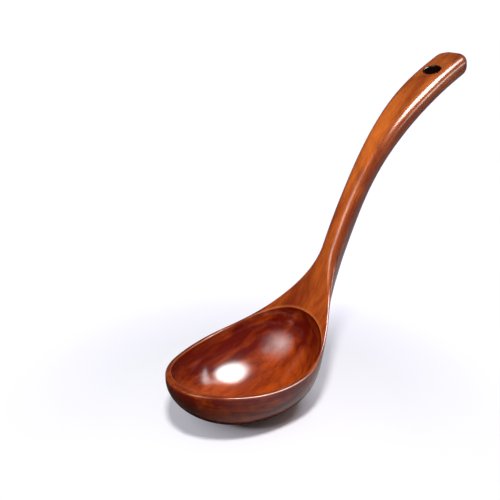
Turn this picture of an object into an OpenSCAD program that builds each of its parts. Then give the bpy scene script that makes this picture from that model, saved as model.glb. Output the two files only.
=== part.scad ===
// Wooden ladle: a carved bowl and a bent handle, glued together on a level joint in the neck.
// The origin is the middle of the flat under the bowl, +X runs towards the handle, +Z is up.
// The ladle is a sweep: cross-sections square to a curve that runs along the middle of its
// top face, from the tip of the bowl, over the neck, to the end of the handle. A place along
// that curve is a run, in millimetres from the tip.

/* [Bowl] */
// Outer width of the bowl
bowl_w = 72; // [60:1:84]
// Run from the tip to the widest part of the bowl
bowl_front = 54; // [48:1:60]
// Run from the tip to the deepest part of the underside
deep_run = 64; // [60:1:68]
// Depth of the bowl outside, from the rim to its round underside
bowl_deep = 33.2; // [28:0.2:38]
// Slope of the rim at the tip, falling towards the middle
tip_slope = 7.5; // [4:0.5:12]
// Width of the rim between the hollow and the outer edge
rim_t = 2.5; // [2:0.1:4]
// Width of the rim at the tip
tip_t = 4.6; // [3:0.1:6]
// Wood left between the deepest part of the hollow and the flat
floor_t = 4.4; // [3:0.1:7]
// Run from the widest part of the bowl to the back of the hollow
hollow_back = 45; // [38:1:47]
// Wood between the back of the hollow and the first full cross-section of the neck
back_wall_t = 4; // [3:0.5:6]
// Depth planed off the round underside to make the flat that it stands on
rest_cut = 1.2; // [0.6:0.1:2]
// Radius of the outer edge of the rim
rim_edge_r = 0.9; // [0.5:0.1:1.2]

/* [Neck] */
// Length along the top face from the widest part of the bowl to the narrowest part of the neck
neck_length = 85; // [76:1:94]
// Width at the narrowest part of the neck
neck_w = 12; // [10.4:0.2:15]
// Depth of the wood at the narrowest part of the neck
neck_t = 17; // [14:0.5:20]
// Slope of the neck, its steepest part
neck_slope = 63; // [52:1:66]
// Height of the glued joint over the table
joint_h = 62; // [58:1:70]
// Thickness of the glue line
glue_t = 0.2; // [0.1:0.05:0.3]

/* [Handle] */
// Length of the whole top face, from the tip of the bowl to the end of the handle
top_length = 303; // [285:1:330]
// Width of the handle at its end
handle_w = 21.6; // [18:0.2:26]
// Thickness of the handle
handle_t = 14.2; // [11:0.2:17]
// Slope of the handle at its end
end_slope = 17; // [10:1:30]
// Radius of the two corners at the end, seen from above
corner_r = 8; // [5.5:0.5:9]
// Radius of the long edges of the neck and the handle
handle_edge_r = 4.4; // [2.5:0.1:5]

/* [Bends] */
// Run from the tip to where the rim starts to level out
level_start = 16; // [8:1:24]
// Run past the widest part of the bowl at which the rim is level
level_past = 4; // [0:1:10]
// Run before the widest part of the bowl at which the top face starts to rise
rise_before = 8; // [0:1:14]
// Run past the narrowest part of the neck at which the rise would be steepest
rise_past = 1; // [0:1:8]
// Run before the narrowest part of the neck at which the top face starts to bend over
bend_before = 15; // [6:1:24]
// Run before the narrowest part of the neck at which the wood has come down to the neck's depth
thin_before = 27; // [18:1:36]
// Run past the narrowest part of the neck at which the wood is as thin as the handle
slim_past = 65; // [40:1:80]
// Run past the widest part of the bowl at which the underside starts to narrow to a keel
keel_past = 12; // [8:1:16]
// Run over which the underside narrows to a keel
keel_length = 28; // [24:1:34]
// Run before the narrowest part of the neck at which the crisp rim starts to round off
soften_before = 39; // [28:1:44]
// Run past the narrowest part of the neck at which the keel has become the flat back of the handle
slab_past = 95; // [70:1:110]
// Run past the narrowest part of the neck at which the handle starts to widen
widen_past = 27; // [15:1:38]
// Run before the end of the handle at which it has its full width
widen_short = 35; // [20:1:50]

/* [Hanging hole] */
// Diameter of the drilled hole
hole_d = 10; // [5:0.5:12]
// Distance from the middle of the hole to the end of the handle
hole_from_end = 28; // [14:1:34]

/* [Hidden] */

// Cross-sections along the front and the back of the bowl, the neck and the handle
front_stations = 22;
back_stations = 24;
neck_stations = 10;
handle_stations = 46;
// Points on one side of a cross-section, round the edge and down the side
edge_points = 4;
side_points = 10;
// Points across a cross-section of the hollow, counted from one side to the middle
hollow_points = 9;
// Squareness of the curves: 2 is an ellipse and more is squarer
plan_round = 1.92;
keel_round = 1.85;
bowl_round = 1.95;
handle_round = 2.8;
neck_side_round = 1;
neck_under_round = 1.7;
hollow_plan_round = 2.05;
hollow_keel_round = 1.8;
hollow_front_round = 1.9;
hollow_back_round = 1.6;
// The end of the handle is cut this much before its rounding closes
end_flat = 0.08;

bowl_half = bowl_w / 2;
neck_half = neck_w / 2;
handle_half = handle_w / 2;
hollow_deep = bowl_deep - rest_cut - floor_t;
hollow_end = bowl_front + hollow_back;
neck_end = bowl_front + neck_length;
// The underside rises from the bowl to the neck, and on to the handle, between these runs
back_start = deep_run;
back_end = neck_end - thin_before;
slim_end = neck_end + slim_past;
// The sides of the cross-section change from the bowl's to the neck's between these two runs,
// and those of the hollow do so a little sooner
keel_start = bowl_front + keel_past;
keel_end = keel_start + keel_length;
hollow_lead = 10;
hollow_turn_start = bowl_front - hollow_lead;
hollow_turn_end = keel_end - hollow_lead;
// The crisp edge of the rim starts to round off here
soften_start = neck_end - soften_before;
slab_end = neck_end + slab_past;
// The handle widens between these two runs
widen_start = neck_end + widen_past;
widen_end = top_length - widen_short;
// The rim levels out between these two runs, and has this slope from there on
level_end = bowl_front + level_past;
level_slope = 2.8;
// The top face bends up into the neck, and over into the handle, between these runs
rise_start = bowl_front - rise_before;
rise_end = neck_end + rise_past;
bend_start = neck_end - bend_before;
bend_end = top_length;

// Rises smoothly from 0 at a to 1 at b
function ease(s, a, b) = let (u = min(1, max(0, (s - a) / (b - a)))) u * u * (3 - 2 * u);
function mix(a, b, t) = a + (b - a) * t;
// A quarter of a squared ellipse, 1 high at u = 0 and down to 0 at u = 1
function arch(u, n) = pow(max(0, 1 - pow(min(1, max(0, u)), n)), 1 / n);

// Slope of the top face at a run, in degrees
function slope(s) =
    -tip_slope
    + (tip_slope + level_slope) * ease(s, level_start, level_end)
    + (neck_slope - level_slope) * ease(s, rise_start, rise_end)
    - (neck_slope - end_slope) * ease(s, bend_start, bend_end);

// The middle line of the top face, walked in short steps from the tip
line_steps = 400;
step = top_length / line_steps;
walk = [for (i = 0, p = [0, 0]; i <= line_steps;
    p = p + step * [cos(slope((i + 0.5) * step)), sin(slope((i + 0.5) * step))], i = i + 1) p];

// The underside of the bowl along the same walk, and its lowest point
under = [for (i = [0:line_steps]) if (i * step < hollow_end) let (s = i * step)
    walk[i] + depth(s) * [sin(slope(s)), -cos(slope(s))]];
under_z = min([for (p = under) p[1]]);
under_x = [for (p = under) if (p[1] == under_z) p[0]][0];
line_x = [for (i = [0:line_steps]) [i * step, walk[i][0] - under_x]];
line_z = [for (i = [0:line_steps]) [i * step, walk[i][1] - under_z - rest_cut]];

// A point at a run, off to one side, and down square to the top face
function place(s, side, down) =
    [lookup(s, line_x) + down * sin(slope(s)), side, lookup(s, line_z) - down * cos(slope(s))];

function edge_r(s) = mix(rim_edge_r, handle_edge_r, ease(s, soften_start, neck_end));

// Squareness of a cross-section at a run, where its side leaves the edge and under its middle
function section_round(s, at_neck) =
    mix(
        mix(bowl_round, at_neck, ease(s, keel_start, keel_end)),
        handle_round,
        ease(s, bend_start, slab_end)
    );

// Half the width at a run, with the outline drawn in by some amount
function half_width(s, inset) =
    s < bowl_front
    ? (bowl_half - inset) * arch((bowl_front - s) / (bowl_front - inset), plan_round)
    : let (
        full = bowl_half
            - (bowl_half - neck_half) * ease(s, bowl_front, neck_end)
            + (handle_half - neck_half) * ease(s, widen_start, widen_end),
        past = max(0, s - (top_length + end_flat - corner_r)),
        r = corner_r - inset
      )
      full - corner_r + sqrt(max(0, r * r - past * past));

// How far the rounding at the end of the handle has come down from the top face
function end_drop(s) =
    let (r = handle_edge_r, left = max(0, r - (top_length + end_flat - s)))
    r - sqrt(r * r - left * left);

// Depth of the wood at a run, from the top face to the underside
function depth(s) =
    s < deep_run
    ? mix(edge_r(s), bowl_deep, arch((deep_run - s) / deep_run, keel_round))
    : mix(
        mix(bowl_deep, neck_t, ease(s, back_start, back_end)),
        handle_t,
        ease(s, neck_end, slim_end)
    ) - end_drop(s);

// One side of a cross-section: the edge of the top face, its rounding, and the side down to the middle
function half_ring(s) =
    let (
        r = edge_r(s),
        w = half_width(s, 0),
        flat = half_width(s, r),
        top = end_drop(s),
        side_n = section_round(s, neck_side_round),
        under_n = section_round(s, neck_under_round)
    )
    concat(
        [for (i = [0:edge_points - 1]) let (a = 90 * i / edge_points)
            [mix(flat, w, sin(a)), mix(r, top, cos(a))]],
        [for (i = [0:side_points - 1]) let (a = 90 * i / side_points)
            [w * pow(cos(a), 2 / under_n), mix(r, depth(s), pow(sin(a), 2 / side_n))]]
    );

// A whole cross-section, from one edge of the top face round the underside to the other
function ring(s) =
    let (half = half_ring(s), last = len(half) - 1)
    concat(
        [for (p = half) place(s, p[0], p[1])],
        [place(s, 0, depth(s))],
        [for (i = [0:last]) place(s, -half[last - i][0], half[last - i][1])]
    );
ring_count = 2 * (edge_points + side_points) + 1;

// How far a run lies from the widest part of the hollow, where 1 is its edge
function hollow_reach(s) =
    s < bowl_front ? (bowl_front - s) / (bowl_front - tip_t) : (s - bowl_front) / hollow_back;

// The hollow at a run, from one edge down to the floor and up to the other
function hollow_arc(s) =
    let (
        half = half_width(bowl_front, rim_t) * arch(hollow_reach(s), hollow_plan_round),
        deep = hollow_deep * arch(hollow_reach(s), hollow_keel_round),
        n = mix(hollow_front_round, hollow_back_round, ease(s, hollow_turn_start, hollow_turn_end))
    )
    [for (i = [0:2 * hollow_points]) let (a = 90 * i / hollow_points, side = cos(a))
        place(s, sign(side) * half * pow(abs(side), 2 / n), deep * pow(sin(a), 2 / n))];

// Triangles between two rows of count points that start at a and b, open at both ends
function strip(a, b, count) =
    [for (i = [0:count - 2]) each [[a + i, b + i + 1, b + i], [a + i, a + i + 1, b + i + 1]]];
// The same from one point, or to one point
function fan_out(a, b, count) = [for (i = [0:count - 2]) [a, b + i + 1, b + i]];
function fan_in(a, b, count) = [for (i = [0:count - 2]) [a + i, a + i + 1, b]];
// Two triangles of a quad, and faces turned to look the other way
function quad(a, b, c, d) = [[a, b, c], [a, c, d]];
function turned(faces) = [for (f = faces) [f[2], f[1], f[0]]];
function runs_between(a, b, count) = [for (i = [0:count]) a + (b - a) * i / count];

// A solid through cross-sections at the given runs, closed flat at both ends
module loft(runs) {
    n = ring_count;
    last = len(runs) - 1;
    points = [for (s = runs) each ring(s)];
    sides = [for (k = [0:last - 1]) each strip(k * n, (k + 1) * n, n)];
    top = [for (k = [0:last - 1]) each
        quad(k * n, (k + 1) * n, (k + 1) * n + n - 1, k * n + n - 1)];
    ends = [[for (i = [0:n - 1]) n - 1 - i], [for (i = [0:n - 1]) last * n + i]];
    polyhedron(points, concat(sides, top, ends), convexity = 6);
}

// The joint is where the top face reaches the joint's height
joint_run = lookup(joint_h, [for (p = line_z) if (p[0] >= bowl_front) [p[1], p[0]]]);
// Blanks reach this far past the joint, because it cuts them at a slant
joint_past = handle_t * 1.8;

// Runs of the bowl's cross-sections: the first, the front, the back and the neck
first_run = rim_edge_r * 1.3;
bowl_runs = concat(
    [for (k = [0:front_stations - 1])
        bowl_front - (bowl_front - first_run) * cos(90 * k / (front_stations - 1))],
    [for (k = [1:back_stations])
        bowl_front + (hollow_back + back_wall_t) * sin(90 * k / back_stations)],
    [for (k = [1:neck_stations])
        mix(hollow_end + back_wall_t, joint_run + joint_past, k / neck_stations)]
);
hollow_runs = concat(
    [for (k = [1:front_stations])
        bowl_front - (bowl_front - tip_t) * cos(90 * k / front_stations)],
    [for (k = [1:back_stations - 1]) bowl_front + hollow_back * sin(90 * k / back_stations)]
);

// The carved bowl with its rim and the start of the neck, as one closed skin
module bowl_blank() {
    n = ring_count;
    m = 2 * hollow_points + 1;
    outer_last = len(bowl_runs) - 1;
    hollow_last = len(hollow_runs) - 1;
    // Four single points, then the outer rings, then the rows across the hollow
    tip = 0;
    lip = 1;
    front = 2;
    back = 3;
    outer = 4;
    hollow = outer + n * len(bowl_runs);
    points = concat(
        [place(0, 0, rim_edge_r), place(rim_edge_r, 0, 0), place(tip_t, 0, 0), place(hollow_end, 0, 0)],
        [for (s = bowl_runs) each ring(s)],
        [for (s = hollow_runs) each hollow_arc(s)]
    );
    // First and last point of an outer ring, and of a row of the hollow
    function o1(k) = outer + k * n;
    function o2(k) = o1(k) + n - 1;
    function h1(k) = hollow + k * m;
    function h2(k) = h1(k) + m - 1;
    skin = concat(
        fan_out(tip, o1(0), n),
        [[tip, o1(0), lip], [tip, lip, o2(0)]],
        [for (k = [0:outer_last - 1]) each strip(o1(k), o1(k + 1), n)]
    );
    inside = turned(concat(
        fan_out(front, h1(0), m),
        [for (k = [0:hollow_last - 1]) each strip(h1(k), h1(k + 1), m)],
        fan_in(h1(hollow_last), back, m)
    ));
    rim = concat(
        quad(lip, o1(0), h1(0), front),
        quad(front, h2(0), o2(0), lip),
        [for (k = [0:hollow_last - 1]) each concat(
            quad(o1(k), o1(k + 1), h1(k + 1), h1(k)),
            quad(h2(k), h2(k + 1), o2(k + 1), o2(k)))],
        quad(o1(hollow_last), o1(hollow_last + 1), back, h1(hollow_last)),
        quad(h2(hollow_last), back, o2(hollow_last + 1), o2(hollow_last)),
        [[o1(hollow_last + 1), o2(hollow_last + 1), back]]
    );
    neck = concat(
        [for (k = [hollow_last + 1:outer_last - 1]) each
            quad(o1(k), o1(k + 1), o2(k + 1), o2(k))],
        [[for (i = [0:n - 1]) o1(outer_last) + i]]
    );
    polyhedron(points, concat(skin, inside, rim, neck), convexity = 8);
}

// Everything between two heights
module level_slab(from, to) {
    translate([-top_length, -bowl_w, from]) cube([3 * top_length, 2 * bowl_w, to - from]);
}

module bowl() {
    color([0.47, 0.2, 0.07])
        intersection() {
            bowl_blank();
            level_slab(0, joint_h);
        }
}

module glue_line() {
    color([0.3, 0.13, 0.06])
        intersection() {
            loft(runs_between(joint_run - joint_past / 2, joint_run + joint_past, neck_stations));
            level_slab(joint_h, joint_h + glue_t);
        }
}

module hang_hole() {
    run = top_length - hole_from_end;
    translate(place(run, 0, handle_t / 2))
        rotate([0, -slope(run), 0])
            cylinder(h = 3 * handle_t, d = hole_d, center = true, $fn = 64);
}

module handle() {
    color([0.68, 0.33, 0.13])
        difference() {
            intersection() {
                loft(handle_runs);
                level_slab(joint_h + glue_t, top_length);
            }
            hang_hole();
        }
}

// Closer cross-sections where the corners at the end are round
corner_stations = 8;
handle_runs = concat(
    runs_between(joint_run - joint_past / 2, top_length - corner_r, handle_stations),
    [for (k = [1:corner_stations]) top_length - corner_r + corner_r * sin(90 * k / corner_stations)]
);

bowl();
glue_line();
handle();
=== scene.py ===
# %% [markdown]
# # A lacquered wooden ladle
#
# The part is a carved ladle: an egg-shaped bowl, a neck that bends up out of it, and a flattened
# handle with a drilled hole to hang it by. The CAD model gives its true sizes in flat facets.
# Lacquered wood shows every facet in its reflections, so here each piece is made again with
# close, smooth sections on the same sizes, and then given its wood, its lacquer and its light.

import math

import bmesh
import bpy
import numpy as np
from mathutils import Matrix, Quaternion, Vector


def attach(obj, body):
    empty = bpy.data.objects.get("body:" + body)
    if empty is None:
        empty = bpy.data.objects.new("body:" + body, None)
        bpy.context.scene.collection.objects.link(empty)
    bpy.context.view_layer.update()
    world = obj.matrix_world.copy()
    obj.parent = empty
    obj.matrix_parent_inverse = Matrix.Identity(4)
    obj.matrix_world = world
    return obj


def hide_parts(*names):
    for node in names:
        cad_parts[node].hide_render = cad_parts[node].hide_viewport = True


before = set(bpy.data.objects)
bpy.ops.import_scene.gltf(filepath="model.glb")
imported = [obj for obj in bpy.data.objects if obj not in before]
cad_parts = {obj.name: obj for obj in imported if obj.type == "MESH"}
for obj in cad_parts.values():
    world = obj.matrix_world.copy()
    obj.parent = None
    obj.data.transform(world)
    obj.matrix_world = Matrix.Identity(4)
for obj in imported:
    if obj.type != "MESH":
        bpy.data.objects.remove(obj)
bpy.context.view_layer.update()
print("CAD nodes:", sorted(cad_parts))

# %% [markdown]
# ## Sizes
#
# The ladle was drawn as a sweep. A curve runs along the middle of its top face, from the tip of
# the bowl to the end of the handle, and every cross-section stands square to it. A place along
# the curve is called a run, counted in millimetres from the tip. These are the same sizes that
# the CAD model was made from, so the smooth pieces fall on the solids.

# %% Sizes of the bowl, the neck and the handle, in millimetres
MM = 0.001
BOWL_W, BOWL_FRONT, BOWL_DEEP, DEEP_RUN = 72, 54, 33.2, 64
RIM_T, TIP_T, FLOOR_T = 2.5, 4.6, 4.4
HOLLOW_BACK, REST_CUT = 45, 1.2
NECK_LENGTH, NECK_W, NECK_T = 85, 12, 17
JOINT_H, GLUE_T = 62, 0.2
TOP_LENGTH, HANDLE_W, HANDLE_T = 303, 21.6, 14.2
CORNER_R, HOLE_D, HOLE_FROM_END = 8, 10, 28
RIM_EDGE_R, HANDLE_EDGE_R = 0.9, 4.4

# Slopes of the top face in degrees, and the runs between which one eases into the next
TIP_SLOPE, LEVEL_SLOPE, NECK_SLOPE, END_SLOPE = 7.5, 2.8, 63, 17
NECK_END = BOWL_FRONT + NECK_LENGTH
LEVEL_SPAN = (16, BOWL_FRONT + 4)
RISE_SPAN = (BOWL_FRONT - 8, NECK_END + 1)
BEND_SPAN = (NECK_END - 15, TOP_LENGTH)
# Runs between which the depth, the width, the edges and the sides change
THIN_SPAN, SLIM_SPAN = (DEEP_RUN, NECK_END - 27), (NECK_END, NECK_END + 65)
WIDEN_SPAN = (NECK_END + 27, TOP_LENGTH - 35)
EDGE_SPAN = (NECK_END - 39, NECK_END)
KEEL_SPAN = (BOWL_FRONT + 12, BOWL_FRONT + 40)
SLAB_SPAN = (NECK_END - 15, NECK_END + 95)
HOLLOW_SPAN = (BOWL_FRONT - 10, BOWL_FRONT + 30)

# Squareness of the curves: 2 is an ellipse, and more is squarer
PLAN_ROUND, KEEL_ROUND = 1.92, 1.85
BOWL_ROUND, HANDLE_ROUND = 1.95, 2.8
NECK_SIDE, NECK_UNDER = 1, 1.7
HOLLOW_PLAN, HOLLOW_KEEL = 2.05, 1.8
HOLLOW_FRONT, HOLLOW_BACK_ROUND = 1.9, 1.6

HOLLOW_DEEP = BOWL_DEEP - REST_CUT - FLOOR_T
HOLLOW_END = BOWL_FRONT + HOLLOW_BACK
# The end face closes the rounding of the handle's last edge a hair before it is full
END_FLAT = 0.08
LAST_RUN = TOP_LENGTH + END_FLAT
print("hollow", HOLLOW_DEEP, "mm deep, neck narrowest at run", NECK_END)

# %% [markdown]
# ## The curve and the cross-sections
#
# Three small curves make all the shapes. `ease` goes smoothly from 0 to 1, `arch` is a quarter
# of an ellipse that may be squarer than a true one, and `mix` lies between two values. The
# slope of the top face is a sum of eases, and walking along it in short steps gives the curve.


# %% Curves that the shapes are made of
def ease(run, span):
    part = min(1, max(0, (run - span[0]) / (span[1] - span[0])))
    return part * part * (3 - 2 * part)


def mix(a, b, part):
    return a + (b - a) * part


def arch(part, roundness):
    return max(0, 1 - min(1, max(0, part)) ** roundness) ** (1 / roundness)


def slope(run):
    """Slope of the top face, in radians."""
    return math.radians(
        -TIP_SLOPE
        + (TIP_SLOPE + LEVEL_SLOPE) * ease(run, LEVEL_SPAN)
        + (NECK_SLOPE - LEVEL_SLOPE) * ease(run, RISE_SPAN)
        - (NECK_SLOPE - END_SLOPE) * ease(run, BEND_SPAN)
    )


for name, run in (("tip", 0), ("neck", NECK_END), ("end", TOP_LENGTH)):
    print("slope at the", name, round(math.degrees(slope(run)), 1), "degrees")


# %% Widths and depths
def half_width(run, inset=0):
    """Half the width, with the outline drawn in by some amount."""
    if run < BOWL_FRONT:
        part = (BOWL_FRONT - run) / (BOWL_FRONT - inset)
        return (BOWL_W / 2 - inset) * arch(part, PLAN_ROUND)
    full = (
        BOWL_W / 2
        - (BOWL_W - NECK_W) / 2 * ease(run, (BOWL_FRONT, NECK_END))
        + (HANDLE_W - NECK_W) / 2 * ease(run, WIDEN_SPAN)
    )
    past = max(0, run - (LAST_RUN - CORNER_R))
    return full - CORNER_R + math.sqrt(max(0, (CORNER_R - inset) ** 2 - past**2))


def edge_radius(run):
    return mix(RIM_EDGE_R, HANDLE_EDGE_R, ease(run, EDGE_SPAN))


def roundness(run, at_neck):
    """Squareness of a cross-section, where its side leaves the edge or under its middle."""
    bowl_to_neck = mix(BOWL_ROUND, at_neck, ease(run, KEEL_SPAN))
    return mix(bowl_to_neck, HANDLE_ROUND, ease(run, SLAB_SPAN))


def drop(run):
    """How far the rounding has come down from the top face, at the tip and at the end."""
    radius = edge_radius(run)
    left = max(0, radius - run, radius - (LAST_RUN - run))
    return radius - math.sqrt(max(0, radius**2 - left**2))


def depth(run):
    """From the top face down to the underside."""
    if run < DEEP_RUN:
        return mix(edge_radius(run), BOWL_DEEP, arch((DEEP_RUN - run) / DEEP_RUN, KEEL_ROUND))
    full = mix(mix(BOWL_DEEP, NECK_T, ease(run, THIN_SPAN)), HANDLE_T, ease(run, SLIM_SPAN))
    return full - (drop(run) if run > NECK_END else 0)


for name, run in (("bowl", BOWL_FRONT), ("neck", NECK_END), ("handle", WIDEN_SPAN[1])):
    print(name, round(2 * half_width(run), 1), "mm wide,", round(depth(run), 1), "mm deep")


# %% Walk the curve, and find where the underside is lowest
STEPS = 1200
walk_runs = np.linspace(0, LAST_RUN, STEPS + 1)
middle_slopes = np.array([slope(run) for run in (walk_runs[1:] + walk_runs[:-1]) / 2])
walk_x = np.concatenate([[0], np.cumsum(np.cos(middle_slopes))]) * LAST_RUN / STEPS
walk_z = np.concatenate([[0], np.cumsum(np.sin(middle_slopes))]) * LAST_RUN / STEPS
under_bowl = [
    (z - depth(run) * math.cos(slope(run)), x + depth(run) * math.sin(slope(run)))
    for run, x, z in zip(walk_runs, walk_x, walk_z)
    if run < HOLLOW_END
]
lowest_z, lowest_x = min(under_bowl)
walk_x -= lowest_x
walk_z -= lowest_z + REST_CUT


def place(run, side, down):
    """The point at a run, off to one side, and down square to the top face, in metres."""
    lean = slope(run)
    x = float(np.interp(run, walk_runs, walk_x)) + down * math.sin(lean)
    z = float(np.interp(run, walk_runs, walk_z)) - down * math.cos(lean)
    return Vector((x, side, z)) * MM


print("tip at", [round(v / MM, 2) for v in place(0, 0, 0)], "mm")
print("end at", [round(v / MM, 2) for v in place(TOP_LENGTH, 0, 0)], "mm")

# %% [markdown]
# ## The skin
#
# A carved form like this could be a subdivided block, but its limit surface would miss the
# measured sizes. Instead, flat grids are bent into place like veneers: a grid knows the run
# and the column of each corner, and `section_point` says where that corner lies. Columns go
# from the left edge of the top face, down the side, round the underside, up to the right
# edge, and back across the top.

# %% Columns round a cross-section
EDGE_COLUMNS, SIDE_COLUMNS, TOP_COLUMNS = 7, 15, 20
HALF_COLUMNS = EDGE_COLUMNS + SIDE_COLUMNS
SKIN_COLUMNS = 2 * HALF_COLUMNS
RING_COLUMNS = SKIN_COLUMNS + TOP_COLUMNS


def section_point(run, column):
    """(side, down) of one column of the cross-section at a run."""
    if column >= SKIN_COLUMNS:
        part = (column - SKIN_COLUMNS) / TOP_COLUMNS
        return mix(-1, 1, part) * half_width(run, edge_radius(run)), drop(run)
    if column > HALF_COLUMNS:
        side, down = section_point(run, SKIN_COLUMNS - column)
        return -side, down
    radius, wide = edge_radius(run), half_width(run)
    if column < EDGE_COLUMNS:
        turn = math.radians(90 * column / EDGE_COLUMNS)
        flat = half_width(run, radius)
        return mix(flat, wide, math.sin(turn)), mix(radius, drop(run), math.cos(turn))
    turn = math.radians(90 * (column - EDGE_COLUMNS) / SIDE_COLUMNS)
    side = wide * max(0, math.cos(turn)) ** (2 / roundness(run, NECK_UNDER))
    return side, mix(radius, depth(run), math.sin(turn) ** (2 / roundness(run, NECK_SIDE)))


print("columns:", SKIN_COLUMNS, "in the skin,", TOP_COLUMNS, "across the top")


# %% Runs of the cross-sections
def spaced(start, end, step):
    """Runs from start to end, as close as step."""
    count = math.ceil((end - start) / step)
    return [mix(start, end, k / count) for k in range(count + 1)]


def towards(edge, middle, count):
    """Runs from an edge to the middle, close together at the edge."""
    return [middle - (middle - edge) * math.cos(math.pi / 2 * k / count) for k in range(count + 1)]


BOWL_STEP, HANDLE_STEP = 1.4, 1.6
# The top face is ringed round the hollow as far as this run, and round the hanging hole
AROUND_HOLLOW = HOLLOW_END + 9
HOLE_RUN = TOP_LENGTH - HOLE_FROM_END
AROUND_HOLE = 11.5
HOLE_SPAN = (HOLE_RUN - AROUND_HOLE, HOLE_RUN + AROUND_HOLE)

tip_runs = towards(0, RIM_EDGE_R, 5)
front_runs = towards(RIM_EDGE_R, BOWL_FRONT, 44)
back_runs = spaced(BOWL_FRONT, AROUND_HOLLOW, BOWL_STEP)
neck_runs = spaced(AROUND_HOLLOW, HOLE_SPAN[0], HANDLE_STEP)
hole_runs = spaced(*HOLE_SPAN, 2 * AROUND_HOLE / TOP_COLUMNS)
last_runs = spaced(HOLE_SPAN[1], LAST_RUN - CORNER_R, HANDLE_STEP)
corner_runs = towards(LAST_RUN, LAST_RUN - CORNER_R, 16)[::-1]
bowl_sections = len(tip_runs + front_runs + back_runs)
handle_sections = len(neck_runs + hole_runs + last_runs + corner_runs)
print("cross-sections: bowl", bowl_sections, "handle", handle_sections)


# %% Bend grids into place
def lay(bm, rows, columns, where):
    """A grid of quads whose corner (i, k) goes where(rows[i], columns[k]) says."""
    made = bmesh.ops.create_grid(
        bm, x_segments=len(rows) - 1, y_segments=len(columns) - 1, size=1
    )
    for vert in made["verts"]:
        i = round((vert.co.x + 1) / 2 * (len(rows) - 1))
        k = round((vert.co.y + 1) / 2 * (len(columns) - 1))
        vert.co = where(rows[i], columns[k])


def lay_skin(bm, runs, columns):
    lay(bm, runs, columns, lambda run, column: place(run, *section_point(run, column)))


skin_columns = list(range(SKIN_COLUMNS + 1))
ring_columns = list(range(RING_COLUMNS + 1))
# The hole comes out of the underside between these two columns
under_first = (SKIN_COLUMNS - TOP_COLUMNS) // 2
under_last = under_first + TOP_COLUMNS

ladle = bmesh.new()
# A number on each corner: 1 on a bevelled edge, which gets a painted highlight, 0 elsewhere. The
# wood's colour reads it
worn = ladle.verts.layers.float.new("worn")
lay_skin(ladle, tip_runs, skin_columns)
lay_skin(ladle, front_runs, skin_columns)
lay_skin(ladle, back_runs, skin_columns)
lay_skin(ladle, neck_runs, ring_columns)
lay_skin(ladle, hole_runs, skin_columns[: under_first + 1])
lay_skin(ladle, hole_runs, skin_columns[under_last:])
lay_skin(ladle, last_runs, ring_columns)
lay_skin(ladle, corner_runs, ring_columns)
print("skin:", len(ladle.faces), "faces")

# %% [markdown]
# ## The hollow and the rim
#
# The rim is a clean loop that catches the light, so the faces follow it like the rings of a
# spider's web. Spokes run from the middle of the hollow out to its edge, and from there
# across the rim to the outline of the top face. Each spoke ends on a corner that the skin
# already has, so the two can be merged.


# %% Spokes between two loops
def lay_spokes(bm, inner, outer, parts, surface):
    """Faces between two loops of (run, side) points that have the same count."""
    count = len(outer)
    around = [k % count for k in range(count + 1)]

    def where(part, k):
        run = mix(inner[k][0], outer[k][0], part)
        side = mix(inner[k][1], outer[k][1], part)
        return surface(run, side)

    lay(bm, parts, around, where)


def hollow_half(run):
    reach = BOWL_FRONT - TIP_T if run < BOWL_FRONT else HOLLOW_BACK
    return half_width(BOWL_FRONT, RIM_T) * arch(abs(run - BOWL_FRONT) / reach, HOLLOW_PLAN)


def hollow_surface(run, side):
    reach = BOWL_FRONT - TIP_T if run < BOWL_FRONT else HOLLOW_BACK
    deep = HOLLOW_DEEP * arch(abs(run - BOWL_FRONT) / reach, HOLLOW_KEEL)
    half = hollow_half(run)
    squareness = mix(HOLLOW_FRONT, HOLLOW_BACK_ROUND, ease(run, HOLLOW_SPAN))
    return place(run, side, deep * arch(abs(side) / half, squareness) if half > 0 else 0)


def top_surface(run, side):
    return place(run, side, drop(run))


print("floor of the hollow at", round(hollow_surface(BOWL_FRONT, 0).z / MM, 1), "mm")

# %% Loops round the hollow
# The outline of the top face: the left edge from the tip, across the neck, and back on the right
edge_runs = front_runs + back_runs[1:]
left_edge = [(run, half_width(run, edge_radius(run))) for run in edge_runs]
neck_half = left_edge[-1][1]
across_parts = [k / TOP_COLUMNS for k in range(1, TOP_COLUMNS)]
across = [(AROUND_HOLLOW, mix(neck_half, -neck_half, part)) for part in across_parts]
right_edge = [(run, -side) for run, side in reversed(left_edge[1:])]
outline = left_edge + across + right_edge

# The edge of the hollow, with a corner for each corner of the outline
BACK_TURN = math.radians(142)
turns = [math.pi / 2 * k / (len(front_runs) - 1) for k in range(len(front_runs))]
back_steps = len(back_runs) - 1
turns += [mix(math.pi / 2, BACK_TURN, k / back_steps) for k in range(1, back_steps + 1)]
turns += [mix(BACK_TURN, 2 * math.pi - BACK_TURN, part) for part in across_parts]
turns += [2 * math.pi - turn for turn in reversed(turns[1 : len(left_edge)])]


def hollow_edge(turn):
    """A point of the hollow's edge: 0 is at the tip, and half a turn is at the neck."""
    ahead, aside = math.cos(turn), math.sin(turn)
    reach = BOWL_FRONT - TIP_T if ahead > 0 else HOLLOW_BACK
    run = BOWL_FRONT - math.copysign(reach * abs(ahead) ** (2 / HOLLOW_PLAN), ahead)
    half = half_width(BOWL_FRONT, RIM_T)
    return run, math.copysign(half * abs(aside) ** (2 / HOLLOW_PLAN), aside)


hollow_loop = [hollow_edge(turn) for turn in turns]
hollow_middle = [(BOWL_FRONT, 0)] * len(hollow_loop)
HOLLOW_RINGS, RIM_RINGS = 34, 5
wall_parts = [math.sin(math.pi / 2 * k / HOLLOW_RINGS) for k in range(HOLLOW_RINGS + 1)]
rim_parts = [k / RIM_RINGS for k in range(RIM_RINGS + 1)]
lay_spokes(ladle, hollow_middle, hollow_loop, wall_parts, hollow_surface)
lay_spokes(ladle, hollow_loop, outline, rim_parts, top_surface)
print("spokes round the hollow:", len(outline))

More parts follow.
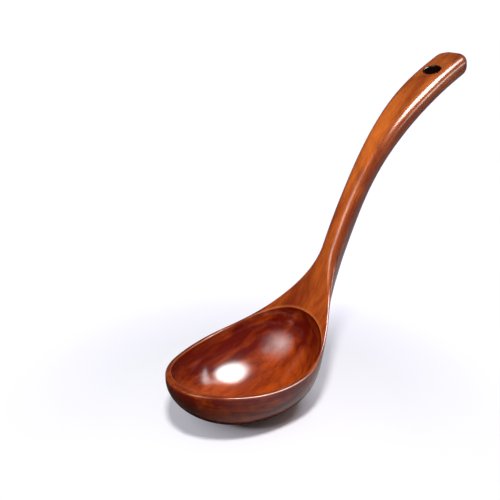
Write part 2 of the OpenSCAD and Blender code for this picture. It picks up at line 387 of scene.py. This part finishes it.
# %% [markdown]
# ## The hanging hole
#
# The hole is drilled square to the top face, right through the handle. Cutting it with a
# Boolean would leave long thin faces round its mouths, which spoil the shine. So it gets the
# same spokes as the hollow, on the top face and on the underside, and a bridge between the
# two loops makes its wall.

# %% Spokes round the two mouths of the hole
hole_lean = slope(HOLE_RUN)
hole_along = Vector((math.cos(hole_lean), 0, math.sin(hole_lean)))
hole_centre = place(HOLE_RUN, 0, 0)


def under_surface(run, side):
    bulge = arch(abs(side) / half_width(run), HANDLE_ROUND)
    deep = mix(edge_radius(run), depth(run), bulge)
    return place(run, side, deep)


def drilled(surface, angle):
    """Where the drill's wall cuts a surface: its run is mended until it lies on the wall."""
    along, side = HOLE_D / 2 * math.cos(angle), HOLE_D / 2 * math.sin(angle)
    run = HOLE_RUN + along
    for _ in range(6):
        reached = (surface(run, side) - hole_centre).dot(hole_along) / MM
        run += along - reached
    return run, side


print("hole at", [round(v / MM, 1) for v in hole_centre], "mm")


# %% Loops round the hole
def side_of(run, column):
    return run, section_point(run, column)[0]


def patch_loop(first, last, step):
    """Corners of the skin round a patch: across it, up one edge, back across and down."""
    columns = list(range(first, last, step))
    rows_up, rows_down = hole_runs[:-1], hole_runs[:0:-1]
    loop = [side_of(HOLE_SPAN[0], column) for column in columns]
    loop += [side_of(run, last) for run in rows_up]
    loop += [side_of(HOLE_SPAN[1], column) for column in range(last, first, -step)]
    return loop + [side_of(run, first) for run in rows_down]


# The loops start at the corner that is nearest the bowl on the left side
HOLE_RINGS, FIRST_TURN = 7, 135
hole_parts = [k / HOLE_RINGS for k in range(HOLE_RINGS + 1)]
for surface, first, last, step in (
    (top_surface, RING_COLUMNS, SKIN_COLUMNS, -1),
    (under_surface, under_first, under_last, 1),
):
    patch = patch_loop(first, last, step)
    angles = [math.radians(FIRST_TURN + 360 * k / len(patch)) for k in range(len(patch))]
    mouth = [drilled(surface, angle) for angle in angles]
    lay_spokes(ladle, mouth, patch, hole_parts, surface)
print("corners round the hole:", len(patch))

# %% [markdown]
# ## Close the skin
#
# The grids now share their corners, so merging doubles sews them together. What stays open is
# the end of the handle and the wall of the hole. Then the sharp edges get a small bevel, as
# sandpaper and lacquer leave on wood, and its corners are marked for a painted highlight.

# %% Sew, close and soften
SEWN, SHARP, SOFT_R = 0.02 * MM, math.radians(40), 0.45 * MM
bmesh.ops.remove_doubles(ladle, verts=ladle.verts, dist=SEWN)
bmesh.ops.dissolve_degenerate(ladle, edges=ladle.edges, dist=SEWN / 10)


def open_edges(bm):
    return [edge for edge in bm.edges if edge.is_boundary]


end_middle = place(LAST_RUN, 0, HANDLE_T / 2)
end_edges = [e for e in open_edges(ladle) if (e.verts[0].co - end_middle).length < HANDLE_W * MM]
hole_edges = [e for e in open_edges(ladle) if e not in set(end_edges)]
print("open edges: end", len(end_edges), "hole", len(hole_edges))
bmesh.ops.edgeloop_fill(ladle, edges=end_edges)
bmesh.ops.bridge_loops(ladle, edges=hole_edges)
bmesh.ops.recalc_face_normals(ladle, faces=ladle.faces)
sharp = [e for e in ladle.edges if e.is_manifold and e.calc_face_angle(0) > SHARP]
print("sharp edges:", len(sharp), "open edges left:", len(open_edges(ladle)))
rounded = bmesh.ops.bevel(
    ladle,
    geom=sharp,
    offset=SOFT_R,
    offset_type="OFFSET",
    affect="EDGES",
    segments=4,
    profile=0.5,
    material=-1,
)
# The bevel's corners later get a lighter colour: a painted highlight along the edges
for vert in rounded["verts"]:
    vert[worn] = 1
print("whole ladle:", len(ladle.faces), "faces")


# %% [markdown]
# ## Saw it into its pieces
#
# The real ladle is glued up from two blocks of wood. The same level cuts as in the CAD model
# part the smooth form into the bowl, the film of glue and the handle. Each piece remembers
# where it lies along the curve, because the grain of the handle follows its bend.


# %% Saw between two heights
def saw(name, node, low, high):
    bm = ladle.copy()
    for height, normal in ((low, (0, 0, -1)), (high, (0, 0, 1))):
        cut = bmesh.ops.bisect_plane(
            bm,
            geom=bm.verts[:] + bm.edges[:] + bm.faces[:],
            dist=SEWN / 100,
            plane_co=(0, 0, height * MM),
            plane_no=normal,
            clear_outer=True,
        )
        edges = [item for item in cut["geom_cut"] if isinstance(item, bmesh.types.BMEdge)]
        edges = [edge for edge in edges if edge.is_boundary]
        if edges:
            bmesh.ops.holes_fill(bm, edges=edges, sides=0)
            for edge in edges:
                edge.smooth = False
    bmesh.ops.recalc_face_normals(bm, faces=bm.faces)
    for face in bm.faces:
        face.smooth = True
    mesh = bpy.data.meshes.new(name)
    bm.to_mesh(mesh)
    bm.free()
    piece = bpy.data.objects.new(name, mesh)
    bpy.context.scene.collection.objects.link(piece)
    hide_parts(node)
    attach(piece, "root")
    print(name, len(mesh.polygons), "faces")
    return piece


GROUND, ABOVE_ALL = 0, 2 * TOP_LENGTH
bowl = saw("ladle_bowl", "bowl", GROUND, JOINT_H)
glue = saw("ladle_glue", "glue_line", JOINT_H, JOINT_H + GLUE_T)
handle = saw("ladle_handle", "handle", JOINT_H + GLUE_T, ABOVE_ALL)


# %% Write the grain's own coordinates on each piece
SHARES = 40


def write_grain(piece):
    """An attribute with the run, the side and the depth of each corner, in metres.

    Each corner goes to the nearest step of the walk. The corners are done in shares, because
    all of them at once would take much memory.
    """
    corners = np.array([vert.co for vert in piece.data.vertices]) / MM
    leans = np.array([slope(run) for run in walk_runs])
    runs, downs = [], []
    for part in np.array_split(corners, SHARES):
        x_off = part[:, :1] - walk_x
        z_off = part[:, 2:] - walk_z
        nearest = np.argmin(x_off**2 + z_off**2, axis=1)
        rows = np.arange(len(part))
        x_off, z_off, lean = x_off[rows, nearest], z_off[rows, nearest], leans[nearest]
        runs.append(walk_runs[nearest] + x_off * np.cos(lean) + z_off * np.sin(lean))
        downs.append(x_off * np.sin(lean) - z_off * np.cos(lean))
    grain = np.column_stack([np.concatenate(runs), corners[:, 1], np.concatenate(downs)])
    attribute = piece.data.attributes.new("grain", "FLOAT_VECTOR", "POINT")
    attribute.data.foreach_set("vector", (grain * MM).astype(np.float32).ravel())
    print(piece.name, "grain from run", round(grain[:, 0].min()), "to", round(grain[:, 0].max()))


for piece in (bowl, glue, handle):
    write_grain(piece)

# %% [markdown]
# ## Shader maths
#
# A node tree reads badly as a list of links. A small class wraps an output socket, so that a
# pattern can be written as a sum or a product in Python, and each operation adds its node.
# A second class is the workbench. It holds the node tree of a material, a lamp or the world,
# and its method `node` makes any node from its settings and its inputs.


# %% A wire that can be added and multiplied
class Wire:
    """An output socket that can be added, multiplied and subtracted like a number."""

    def __init__(self, bench, socket):
        self.bench, self.socket = bench, socket

    def maths(self, operation, first, second):
        return self.bench.node("ShaderNodeMath", {"operation": operation}, {0: first, 1: second})

    def __add__(self, other):
        return self.maths("ADD", self, other)

    def __sub__(self, other):
        return self.maths("SUBTRACT", self, other)

    def __rsub__(self, other):
        return self.maths("SUBTRACT", other, self)

    def __mul__(self, other):
        return self.maths("MULTIPLY", self, other)

    __radd__, __rmul__ = __add__, __mul__


print("a wire takes + - * with numbers and with other wires")


# %% A workbench that makes nodes
class Bench:
    """The node tree of a material, a lamp or the world."""

    def __init__(self, owner):
        owner.use_nodes = True
        self.tree = owner.node_tree
        self.tree.nodes.clear()

    def node(self, kind, settings=None, inputs=None, output=0):
        """A node with its settings, its values and links, and a wire from one output."""
        made = self.tree.nodes.new(kind)
        for key, value in (settings or {}).items():
            if key == "stops":
                while len(made.color_ramp.elements) < len(value):
                    made.color_ramp.elements.new(0.5)
                for stop, (position, level) in zip(made.color_ramp.elements, value):
                    stop.position, stop.color = position, (level, level, level, 1)
            else:
                setattr(made, key, value)
        for key, value in (inputs or {}).items():
            if isinstance(value, Wire):
                self.tree.links.new(value.socket, made.inputs[key])
            else:
                made.inputs[key].default_value = value
        return Wire(self, made.outputs[output]) if made.outputs else None

    def coordinate(self, vector, axis):
        return self.node("ShaderNodeSeparateXYZ", None, {0: vector}, output=axis)

    def vector(self, operation, first, second):
        return self.node("ShaderNodeVectorMath", {"operation": operation}, {0: first, 1: second})

    def measure(self, operation, first, second):
        """Vector maths that gives a number, such as a distance."""
        settings = {"operation": operation}
        return self.node("ShaderNodeVectorMath", settings, {0: first, 1: second}, output=1)

    def noise(self, vector, sizes, detail=2.0, rough=0.5, bend=0.0):
        """Cloudy noise whose lumps have these sizes, in metres."""
        scaled = self.vector("MULTIPLY", vector, tuple(1 / size for size in sizes))
        inputs = {"Vector": scaled, "Scale": 1.0, "Detail": detail}
        inputs |= {"Roughness": rough, "Distortion": bend}
        return self.node("ShaderNodeTexNoise", {"noise_dimensions": "3D"}, inputs)

    def ramp(self, value, *stops):
        """A level that goes from stop to stop. Each stop is (value, level)."""
        low, high = stops[0][0], stops[-1][0]
        ends = {"Value": value, "From Min": low, "From Max": high}
        if len(stops) == 2:
            ends |= {"To Min": stops[0][1], "To Max": stops[1][1]}
        part = self.node("ShaderNodeMapRange", None, ends)
        if len(stops) == 2:
            return part
        # A colour ramp has 256 steps from 0 to 1, so values in metres are stretched to that first
        stops = [((position - low) / (high - low), level) for position, level in stops]
        return self.node("ShaderNodeValToRGB", {"stops": stops}, {0: part})

    def blend(self, part, first, second):
        settings = {"data_type": "RGBA", "blend_type": "MIX", "clamp_result": True}
        return self.node("ShaderNodeMix", settings, {0: part, 6: first, 7: second}, output=2)


print("a bench has:", [name for name in vars(Bench) if not name.startswith("_")])

# %% [markdown]
# ## Wood under lacquer
#
# The wood is reddish, with broad cloudy bands, faint growth lines that run as contours
# round the hollow, and short dark pores that lie along the grain. Each of these is a noise or
# a wave on the grain's own coordinates, so that it follows the bend of the handle. The stain
# is darker on the bowl than on the handle. On the bowl, painted shade darkens the walls of the
# hollow and the bottom of its outside, painted light brightens its top face and the floor of the
# hollow, and a painted highlight lightens the bevelled edges.

# %% Colours of the wood
DARK_WOOD = (0.045, 0.004, 0.001, 1)
BOWL_WOOD = (0.14, 0.005, 0.0010, 1), (0.50, 0.072, 0.005, 1)
HANDLE_WOOD = (0.34, 0.056, 0.007, 1), (0.66, 0.150, 0.020, 1)
# A lighter colour for the bevelled edges: a painted highlight
EDGE_HIGHLIGHT_WOOD = (0.62, 0.17, 0.045, 1)
# Near black for the drilled hole: painted shade in the hole, with a dark stain
BORE_SHADE_WOOD = (0.012, 0.002, 0.001, 1)
print("bowl wood, dark and light:", BOWL_WOOD)
print("handle wood, dark and light:", HANDLE_WOOD)

# %% Patterns of the wood
# Sizes along the grain, across it and into the wood, in metres
CLOUD = (0.040, 0.013, 0.011)
STREAK = (0.034, 0.0022, 0.0022)
FIBRE = (0.006, 0.0004, 0.0004)
PORE, PORE_CROWD = (0.0026, 0.00042, 0.00042), (0.02, 0.006, 0.006)
GROWTH_BEND, GROWTH_GAP = (0.05, 0.016, 0.03), 0.0026


def pore_marks(bench, grain):
    """1 in the pores. They are crowded in some places and rare in others."""
    pores = bench.noise(grain, PORE, detail=1, rough=0.4)
    crowd = bench.noise(grain, PORE_CROWD, detail=1)
    return bench.ramp(pores + crowd * 0.25, (0.80, 0), (0.86, 1))


def growth_lines(bench, grain, down):
    """Layers of growth lie flat under the top face, so that the hollow cuts them in rings."""
    turns = down * (2 * math.pi / GROWTH_GAP) + bench.noise(grain, GROWTH_BEND) * 22
    wave = bench.node("ShaderNodeMath", {"operation": "SINE"}, {0: turns})
    return bench.ramp(wave * 0.5 + 0.5, (0.0, 0), (0.75, 0.35), (1.0, 1))


print("pores", round(PORE[0] / MM, 1), "mm long, growth lines", round(GROWTH_GAP / MM, 1), "mm apart")

# %% Stain, with painted shade and painted light on the bowl
# The stain of the bowl fades into that of the handle between these runs, in metres
FADE_RUNS = (0.095, 0.240)
# The painted shade and dark stain of the drilled hole end a little way outside its wall, in metres
BORE_SHADE_REACH = (HOLE_D / 2 * MM + 0.0006, HOLE_D / 2 * MM + 0.0011)


def stain_and_shade(bench, run, down, clouds, streaks):
    """Darker on the bowl than on the handle. On the bowl, painted shade darkens the walls of the
    hollow and the bottom of its outside, and painted light brightens the top face and the floor of
    the hollow.
    """
    # Painted light on the top face and the floor of the hollow; painted shade on the walls and the
    # bottom of the outside
    rim = bench.ramp(down, (0.0004, 0.30), (0.0018, 0))
    floor = bench.ramp(down, (0.009, 0), (0.022, 1), (0.0277, 1), (0.0300, 0))
    bowl_tone = bench.ramp(clouds * 0.6 + streaks * 0.2 + floor * 0.18, (0.38, 0), (0.62, 1))
    handle_tone = bench.ramp(clouds * 0.75 + streaks * 0.25, (0.38, 0), (0.62, 1))
    fade = bench.ramp(run, (FADE_RUNS[0], 0), (FADE_RUNS[1], 1))
    bowl_colour = bench.blend(bowl_tone, *BOWL_WOOD)
    handle_colour = bench.blend(handle_tone, *HANDLE_WOOD)
    return bench.blend(bench.ramp(fade + rim, (0, 0), (1, 1)), bowl_colour, handle_colour)


# Painted shade in the drilled hole, with a dark stain: on its wall and a hair onto the top face
def bore_shade_and_stain(bench, grain):
    flat = bench.vector("MULTIPLY", grain, (1, 1, 0))
    from_hole = bench.measure("DISTANCE", flat, (HOLE_RUN * MM, 0, 0))
    return bench.ramp(from_hole, (BORE_SHADE_REACH[0], 1), (BORE_SHADE_REACH[1], 0))


print("stain fades between runs", [round(run / MM) for run in FADE_RUNS], "mm")

# %% [markdown]
# ## Lacquer
#
# The lacquer is clear and polished. A clear coat over the duller wood gives both: the coat
# mirrors the lamps and the table, and the colour shows from under it. The streaks and the
# pores leave a hair of relief in it, which breaks up the edges of the reflections.


# %% Wood under its lacquer
def lacquered_wood(name, darker, coat_rough):
    material = bpy.data.materials.new(name)
    bench = Bench(material)
    grain = bench.node("ShaderNodeAttribute", {"attribute_name": "grain"}, output=1)
    run, down = bench.coordinate(grain, 0), bench.coordinate(grain, 2)
    clouds = bench.noise(grain, CLOUD, bend=0.8)
    streaks = bench.noise(grain, STREAK, detail=3)
    fibres = bench.noise(grain, FIBRE)
    fibre_marks = bench.ramp(fibres, (0.35, 0.30), (0.6, 0))
    pores = pore_marks(bench, grain)
    growth = growth_lines(bench, grain, down)

    colour = stain_and_shade(bench, run, down, clouds, streaks)
    for amount in (growth * 0.22, fibre_marks, pores * 0.6, darker):
        colour = bench.blend(amount, colour, DARK_WOOD)
    # Painted highlight: the bevelled edges turn lighter
    edge_highlight_mask = bench.node("ShaderNodeAttribute", {"attribute_name": "worn"}, output=2)
    colour = bench.blend(edge_highlight_mask * 0.4, colour, EDGE_HIGHLIGHT_WOOD)
    # The hole and a thin ring round its mouth turn near black: painted shade, with a dark stain
    colour = bench.blend(bore_shade_and_stain(bench, grain), colour, BORE_SHADE_WOOD)

    height = streaks * 0.5 + fibres * 0.1 - pores
    relief = {"Strength": 0.06, "Distance": 0.00004, "Height": height}
    finish = {
        "Base Color": colour,
        "Roughness": 0.42 + 0.12 * streaks,
        "Specular IOR Level": 0.03,
        "Coat Weight": 1.0,
        "Coat Roughness": coat_rough,
        "Coat IOR": 1.5,
        "Normal": bench.node("ShaderNodeBump", None, relief),
    }
    wood = bench.node("ShaderNodeBsdfPrincipled", None, finish)
    bench.node("ShaderNodeOutputMaterial", None, {"Surface": wood})
    print(name, "has", len(material.node_tree.nodes), "nodes")
    return material


bowl.data.materials.append(lacquered_wood("bowl_wood", 0.0, 0.13))
handle.data.materials.append(lacquered_wood("handle_wood", 0.0, 0.19))
glue.data.materials.append(lacquered_wood("glue_wood", 0.12, 0.16))

# %% [markdown]
# ## Camera
#
# The camera looks down at the ladle from the side of its tip, a little to the right, at the
# angle that was measured from the photograph. Its lens and its place come from the same
# measurement.

# %% Camera at the photograph's angle
VIEW_TURN, VIEW_DOWN = math.radians(46.92), math.radians(21.89)
CAMERA_AT = Vector((-301.9, -278.2, 258.4)) * MM
SENSOR, LENS = 36.0, 61.2
NEAREST, FURTHEST = 0.01, 20
looking = Vector(
    (
        math.sin(VIEW_TURN) * math.cos(VIEW_DOWN),
        math.cos(VIEW_TURN) * math.cos(VIEW_DOWN),
        -math.sin(VIEW_DOWN),
    )
)
camera_data = bpy.data.cameras.new("camera")
camera_data.sensor_width, camera_data.lens = SENSOR, LENS
camera_data.clip_start, camera_data.clip_end = NEAREST, FURTHEST
camera = bpy.data.objects.new("camera", camera_data)
camera.location = CAMERA_AT
camera.rotation_euler = looking.to_track_quat("-Z", "Y").to_euler()
bpy.context.scene.collection.objects.link(camera)
bpy.context.scene.camera = camera
print("camera looks along", [round(v, 3) for v in looking])

# %% [markdown]
# ## Table
#
# The ladle stands on a plain white table, which fades into the white of the studio. Right under
# the bowl it is paint, which takes the soft shadow. Round it a glow for the camera only grows with
# the distance from the bowl and paints the shadow lighter outwards, and further out the table
# glows white. The wood gets less light back from it than the camera sees, and less still on its
# left, where the bowl's outside keeps its deep colour.

# %% Looks of the table
TABLE_PAINT = (0.93, 0.93, 0.95, 1)
TABLE_WHITE, TABLE_GLOW = (0.99, 0.98, 1.10, 1), 1.03
# The table that the wood gets, on either side of the bowl
MIRRORED_RIGHT, MIRRORED_LEFT = (0.58, 0.56, 0.57, 1), (0.08, 0.06, 0.05, 1)
# The way to the left of the picture, on the table
LEFTWARDS = (-0.68, 0.73, 0)


def white_table():
    material = bpy.data.materials.new("white_table")
    bench = Bench(material)
    camera_ray = bench.node("ShaderNodeLightPath", output="Is Camera Ray")
    spot = bench.node("ShaderNodeNewGeometry", output="Position")
    off = bench.measure("LENGTH", spot, (0, 0, 0))
    # Painted light on the shadow: the glow grows with the distance from the bowl, and its lilac tint
    # colours the shadow
    shadow_glow = bench.ramp(
        off, (0.0225, 0), (0.0265, 0.17), (0.032, 0.26), (0.040, 0.35), (0.100, 0.42)
    )
    white = bench.blend(bench.ramp(off, (0.085, 0), (0.150, 1)), shadow_glow, (1, 1, 1, 1))

    left = bench.measure("DOT_PRODUCT", spot, LEFTWARDS)
    beside = bench.ramp(left, (-0.05, 0), (0.03, 1))
    mirrored = bench.blend(beside, MIRRORED_RIGHT, MIRRORED_LEFT)
    seen = bench.blend(camera_ray, mirrored, TABLE_PAINT)
    paint = bench.node("ShaderNodeBsdfDiffuse", None, {"Color": seen})
    glow = bench.node("ShaderNodeEmission", None, {"Color": TABLE_WHITE, "Strength": TABLE_GLOW})
    mixed = bench.node("ShaderNodeMixShader", None, {0: white * camera_ray, 1: paint, 2: glow})
    bench.node("ShaderNodeOutputMaterial", None, {"Surface": mixed})
    return material


print("table paint:", TABLE_PAINT)

# %% Table
# It reaches this far each way, a hair under the bowl so that the two faces don't mix, in metres
TABLE_REACH, TABLE_GAP = 4, 0.0001
table_mesh = bpy.data.meshes.new("table")
bm = bmesh.new()
bmesh.ops.create_grid(bm, x_segments=1, y_segments=1, size=TABLE_REACH)
bm.to_mesh(table_mesh)
bm.free()
table = bpy.data.objects.new("table", table_mesh)
table.location.z = -TABLE_GAP
bpy.context.scene.collection.objects.link(table)
table_mesh.materials.append(white_table())
print("table:", len(table_mesh.polygons), "face,", 2 * TABLE_REACH, "m square")

# %% [markdown]
# ## Lamps
#
# A studio lamp does two things at once: it lights the wood, and it shows as a patch in the
# lacquer. Here they are kept apart. One small lamp lights the wood at a plain level and
# throws the shadow. Three large ones are only mirrored, and they fade towards their rims,
# as a lamp behind cloth does, so that their patches have soft edges.


# %% Soft edge of a lamp
def fade_out(lamp_data, core):
    """Full strength in a core of the lamp, and nothing at its rim."""
    bench = Bench(lamp_data)
    spot = bench.node("ShaderNodeNewGeometry", output="Parametric")
    off = bench.measure("DISTANCE", spot, (0.5, 0.5, 0))
    level = bench.ramp(off, (core / 2, 1), (0.5, 0))
    glow = bench.node("ShaderNodeEmission", None, {"Strength": level * level})
    bench.node("ShaderNodeOutputLight", None, {"Surface": glow})


def energy(size, radiance):
    """The power of an oval area lamp that has this radiance."""
    return radiance * math.pi * (math.pi / 4 * size[0] * size[1])


print("a round lamp 1 m wide, of radiance 1, takes", round(energy((1, 1), 1), 2), "W")

# %% Lamps
# Azimuths and elevations are in degrees, and azimuth 0 is along +X. All lamps face this point
LAMPS_FACE = Vector((0, 0, 30)) * MM


def lamp(name, azimuth, elevation, size, radiance, core=1.0, distance=1.0, roll=0):
    """An oval lamp. With a core of 1 it lights things, and with less it is only mirrored."""
    turn, rise = math.radians(azimuth), math.radians(elevation)
    direction = Vector(
        (math.cos(turn) * math.cos(rise), math.sin(turn) * math.cos(rise), math.sin(rise))
    )
    data = bpy.data.lights.new(name, "AREA")
    data.shape = "ELLIPSE"
    data.size, data.size_y = size
    data.energy = energy(size, radiance)
    if core < 1:
        fade_out(data, core)
    made = bpy.data.objects.new(name, data)
    made.location = LAMPS_FACE + direction * distance
    facing = (-direction).to_track_quat("-Z", "Y") @ Quaternion((0, 0, 1), math.radians(roll))
    made.rotation_euler = facing.to_euler()
    made.visible_diffuse = core == 1
    made.visible_glossy = core < 1
    bpy.context.scene.collection.objects.link(made)
    print(name, "at", [round(v, 2) for v in made.location], "m")


lamp("main_light", -140, 57, (0.065, 0.065), 255.0, distance=0.5)
lamp("key_gloss", -46, 60, (0.86, 0.66), 34.0, core=0.55, distance=0.90, roll=-49)
lamp("fill_gloss", -168, 43, (1.15, 1.10), 9.0, core=0.10, distance=0.90)
lamp("side_gloss", -42, 9, (0.90, 0.42), 12.0, core=0.10, distance=1.10)

# %% [markdown]
# ## Surroundings
#
# The camera sees a white studio all round. The lacquer mirrors a dark room that is a little
# brighter near the table, because a polished face in an evenly white room looks milky. The
# wood gets a weak soft light from above, which keeps the shadows open.


# %% Surroundings
def studio():
    world = bpy.data.worlds.new("studio")
    bench = Bench(world)
    camera_ray = bench.node("ShaderNodeLightPath", output="Is Camera Ray")
    gloss_ray = bench.node("ShaderNodeLightPath", output="Is Glossy Ray")
    direction = bench.node("ShaderNodeTexCoord", output="Generated")
    height = bench.coordinate(direction, 2)
    walls = bench.ramp(height, (0.02, 0.35), (0.20, 0.05), (1.0, 0.02))
    sky = bench.ramp(height, (0.0, 0.06), (0.9, 0.24))
    level = bench.blend(gloss_ray, sky, walls)
    level = bench.blend(camera_ray, level, (1, 1, 1, 1))
    glow = bench.node("ShaderNodeBackground", None, {"Color": level, "Strength": 1.0})
    bench.node("ShaderNodeOutputWorld", None, {"Surface": glow})
    return world


bpy.context.scene.world = studio()
bpy.context.scene.view_settings.view_transform = "Standard"
print("world:", bpy.context.scene.world.name)

# %% [markdown]
# ## Finish
#
